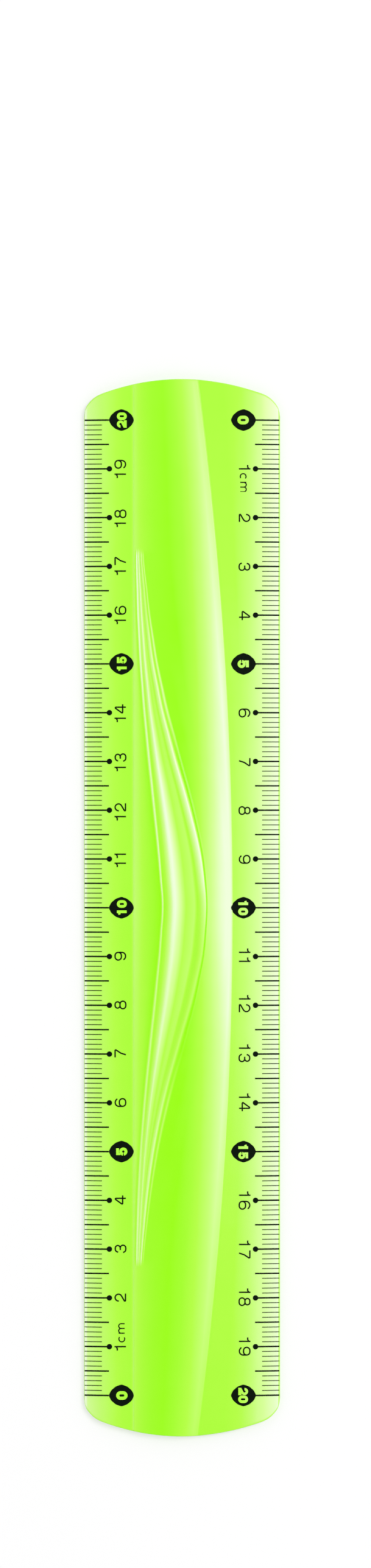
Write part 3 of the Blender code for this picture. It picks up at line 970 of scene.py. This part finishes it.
def printing_ink():
    material, tree, shader = new_material("dark_green_screen_ink")
    place = add_node(tree, "ShaderNodeAttribute", {"attribute_name": "rest_place"})
    cover = add_node(tree, "ShaderNodeTexNoise", values={"Scale": 1 / SCREEN_MESH, "Detail": 2.0},
                     links={"Vector": place.outputs["Vector"]})
    tone = add_node(tree, "ShaderNodeValToRGB", links={"Fac": cover.outputs["Fac"]})
    for step, colour in zip(tone.color_ramp.elements, INK_COLOURS):
        step.color = linear(colour)
    tree.links.new(tone.outputs["Color"], shader.inputs["Base Color"])
    shader.inputs["Roughness"].default_value = INK_ROUGHNESS
    shader.inputs["Specular IOR Level"].default_value = INK_SPECULAR
    return material


INK = printing_ink()
print(f"ink from {INK_COLOURS[0]} to {INK_COLOURS[1]}, roughness {INK_ROUGHNESS}")

# %% [markdown]
# The print has to lie on the strip at every bend. It could be a picture in the strip's colour, but
# lines of a seventh of a millimetre would blur in it. So it is a mesh. A Shrinkwrap lays it on the
# curved strip, a hair above it, and a Solidify gives the film its thickness. Both stay live, and so
# follow the strip.

# %% Lay a print on the strip
INK_LIFT = 0.00002
FILM = 0.00002
BOLD_LIFT = 0.00006
WELD = 0.000002


def lay_on_strip(thing, index, lift):
    wrap = thing.modifiers.new("lie on the strip", "SHRINKWRAP")
    wrap.target = strips[index]
    wrap.wrap_method = "NEAREST_SURFACEPOINT"
    wrap.wrap_mode = "ABOVE_SURFACE"
    wrap.offset = lift
    film = thing.modifiers.new("film", "SOLIDIFY")
    film.thickness = FILM
    film.offset = 1
    film.vertex_group = thing.vertex_groups.new(name="film").name
    bend_with_strip(thing)


def finish_print(bm):
    """Sets every flat stroke on the band, facing up, and keeps its place, paleness and film."""
    bmesh.ops.remove_doubles(bm, verts=bm.verts, dist=WELD)
    for vert in bm.verts:
        vert.co.z = bevel_z(vert.co.x) + INK_LIFT
    bm.normal_update()
    down = [face for face in bm.faces if face.normal.z < 0]
    bmesh.ops.reverse_faces(bm, faces=down)
    place = bm.verts.layers.float_vector.new("rest_place")
    pale = bm.verts.layers.float.new("pale")
    film = bm.verts.layers.deform.verify()
    for vert in bm.verts:
        vert[place] = vert.co
        vert[pale] = band_pale(vert.co.x, vert.co.y)
        if 0 not in vert[film]:
            vert[film][0] = 1
    return bm


print(f"ink {FILM / MM:.2f} mm thick")

# %% [markdown]
# Each piece of the strip carries its own print. Its lines run from 4 mm before its mark to 5 mm
# past it, so that no line of the scale is cut by a seam.

# %% Print the scales
for index in range(len(SLITS)):
    bm = both_scales(numbered_mark, index)
    graduations(bm, index)
    printed = new_object(f"scale_print_{index:02d}_cm", finish_print(bm), [INK])
    lay_on_strip(printed, index, INK_LIFT)
    if index % BADGE_EVERY_CM == 0:
        bm = finish_print(both_scales(badge_number, index))
        bold = new_object(f"badge_numbers_{index:02d}_cm", bm, [LIME_PVC])
        lay_on_strip(bold, index, BOLD_LIFT)

# %% [markdown]
# The floor is a wide sheet of matt paper. Its grey takes the strip's soft shadow and throws little
# lime light back. It also glows for the camera alone, and a little more further out, so that it
# shows as white paper with the shadow on it and lights nothing. A pair of values for the glow holds
# a distance from the strip's middle, and the strength of the glow there.

# %% Floor
FLOOR_SIZE = 12.0
FLOOR_COLOUR = "#B3B3B3"
FLOOR_ROUGHNESS = 0.9
GLOW_NEAR = (0.2, 0.54)
GLOW_FAR = (2.5, 0.74)


def white_floor():
    material, tree, shader = new_material("white_paper_floor")
    shader.inputs["Base Color"].default_value = linear(FLOOR_COLOUR)
    shader.inputs["Roughness"].default_value = FLOOR_ROUGHNESS
    shader.inputs["Specular IOR Level"].default_value = 0.0
    path = add_node(tree, "ShaderNodeLightPath")
    place = add_node(tree, "ShaderNodeTexCoord")
    away = add_node(tree, "ShaderNodeVectorMath", {"operation": "LENGTH"},
                    links={0: place.outputs["Object"]})
    added = add_node(tree, "ShaderNodeMapRange", {"interpolation_type": "SMOOTHSTEP"},
                     {"From Min": GLOW_NEAR[0], "To Min": GLOW_NEAR[1],
                      "From Max": GLOW_FAR[0], "To Max": GLOW_FAR[1]},
                     {"Value": away.outputs["Value"]})
    strength = add_node(tree, "ShaderNodeMath", {"operation": "MULTIPLY"},
                        links={0: path.outputs["Is Camera Ray"], 1: added.outputs["Result"]})
    glow = add_node(tree, "ShaderNodeEmission", values={"Color": WHITE},
                    links={"Strength": strength.outputs["Value"]})
    total = add_node(tree, "ShaderNodeAddShader",
                     links={0: shader.outputs["BSDF"], 1: glow.outputs["Emission"]})
    tree.links.new(total.outputs["Shader"], tree.nodes["Material Output"].inputs["Surface"])
    return material


bm = bmesh.new()
bmesh.ops.create_grid(bm, x_segments=1, y_segments=1, size=FLOOR_SIZE / 2)
floor = new_object("floor", bm, [white_floor()])
print(f"floor {FLOOR_SIZE:.0f} m wide")

# %% [markdown]
# The studio is white all round, but dark overhead, where the camera hangs. A glossy strip that
# faces straight up would mirror a white ceiling as a grey veil over its lime and its ink. To the
# camera itself the studio is plain white.

# %% World
OVERHEAD_EDGE = (0.72, 0.92)
WALL_STRENGTH = 1.05
OVERHEAD_STRENGTH = 0.05
world = bpy.data.worlds.new("soft_white_studio")
bpy.context.scene.world = world
world.use_nodes = True
tree = world.node_tree
background = tree.nodes["Background"]
background.inputs["Color"].default_value = WHITE
direction = add_node(tree, "ShaderNodeTexCoord")
parts = add_node(tree, "ShaderNodeSeparateXYZ", links={"Vector": direction.outputs["Generated"]})
studio = add_node(tree, "ShaderNodeMapRange", {"interpolation_type": "SMOOTHSTEP"},
                  {"From Min": OVERHEAD_EDGE[0], "From Max": OVERHEAD_EDGE[1],
                   "To Min": WALL_STRENGTH, "To Max": OVERHEAD_STRENGTH},
                  {"Value": parts.outputs["Z"]})
path = add_node(tree, "ShaderNodeLightPath")
strength = add_node(tree, "ShaderNodeMapRange", values={"To Max": 1.0},
                    links={"Value": path.outputs["Is Camera Ray"],
                           "To Min": studio.outputs["Result"]})
tree.links.new(strength.outputs["Result"], background.inputs["Strength"])
print(f"studio strength {WALL_STRENGTH} all round and {OVERHEAD_STRENGTH} overhead")

# %% [markdown]
# One softbox stands to the upper right. It gives the relief its shading, and the strip a soft
# shadow on the floor to its lower left.

# %% Lamp
KEY_PLACE = Vector((1.1, 0.7, 1.9))
KEY_SIZE = (0.6, 1.2)
KEY_POWER = 21.0
lamp = bpy.data.lights.new("key_softbox", "AREA")
lamp.shape = "RECTANGLE"
lamp.size, lamp.size_y = KEY_SIZE
lamp.energy = KEY_POWER
key = bpy.data.objects.new("key_softbox", lamp)
bpy.context.scene.collection.objects.link(key)
key.location = KEY_PLACE
key.rotation_euler = (-KEY_PLACE).to_track_quat("-Z", "Y").to_euler()
print(f"softbox {KEY_PLACE.length:.2f} m from the strip")

# %% [markdown]
# The camera looks straight down. It is placed for a tall frame that holds eight pixels to a
# millimetre, with the strip low in it. The camera stands aside of the strip's middle instead of
# shifting its lens. The Standard view shows colours as they are written.

# %% Camera
PIXELS_PER_METRE = 8000
FRAME_PIXELS = (609, 2576)
MIDDLE_LINE_PIXEL = 298.75
TEN_CM_PIXEL = 1491
LENS = 120
SENSOR = 36
NEAREST = 0.01
camera_data = bpy.data.cameras.new("camera")
camera_data.lens = LENS
camera_data.sensor_width = SENSOR
camera = bpy.data.objects.new("camera", camera_data)
bpy.context.scene.collection.objects.link(camera)
bpy.context.scene.camera = camera
frame_height = FRAME_PIXELS[1] / PIXELS_PER_METRE
camera_x = (FRAME_PIXELS[0] / 2 - MIDDLE_LINE_PIXEL) / PIXELS_PER_METRE
camera_y = (TEN_CM_PIXEL - FRAME_PIXELS[1] / 2) / PIXELS_PER_METRE
camera.location = (camera_x, camera_y, frame_height * LENS / SENSOR)
camera_data.clip_start = NEAREST
bpy.context.scene.view_settings.view_transform = "Standard"
print(f"camera {camera.location.z:.2f} m above the floor")
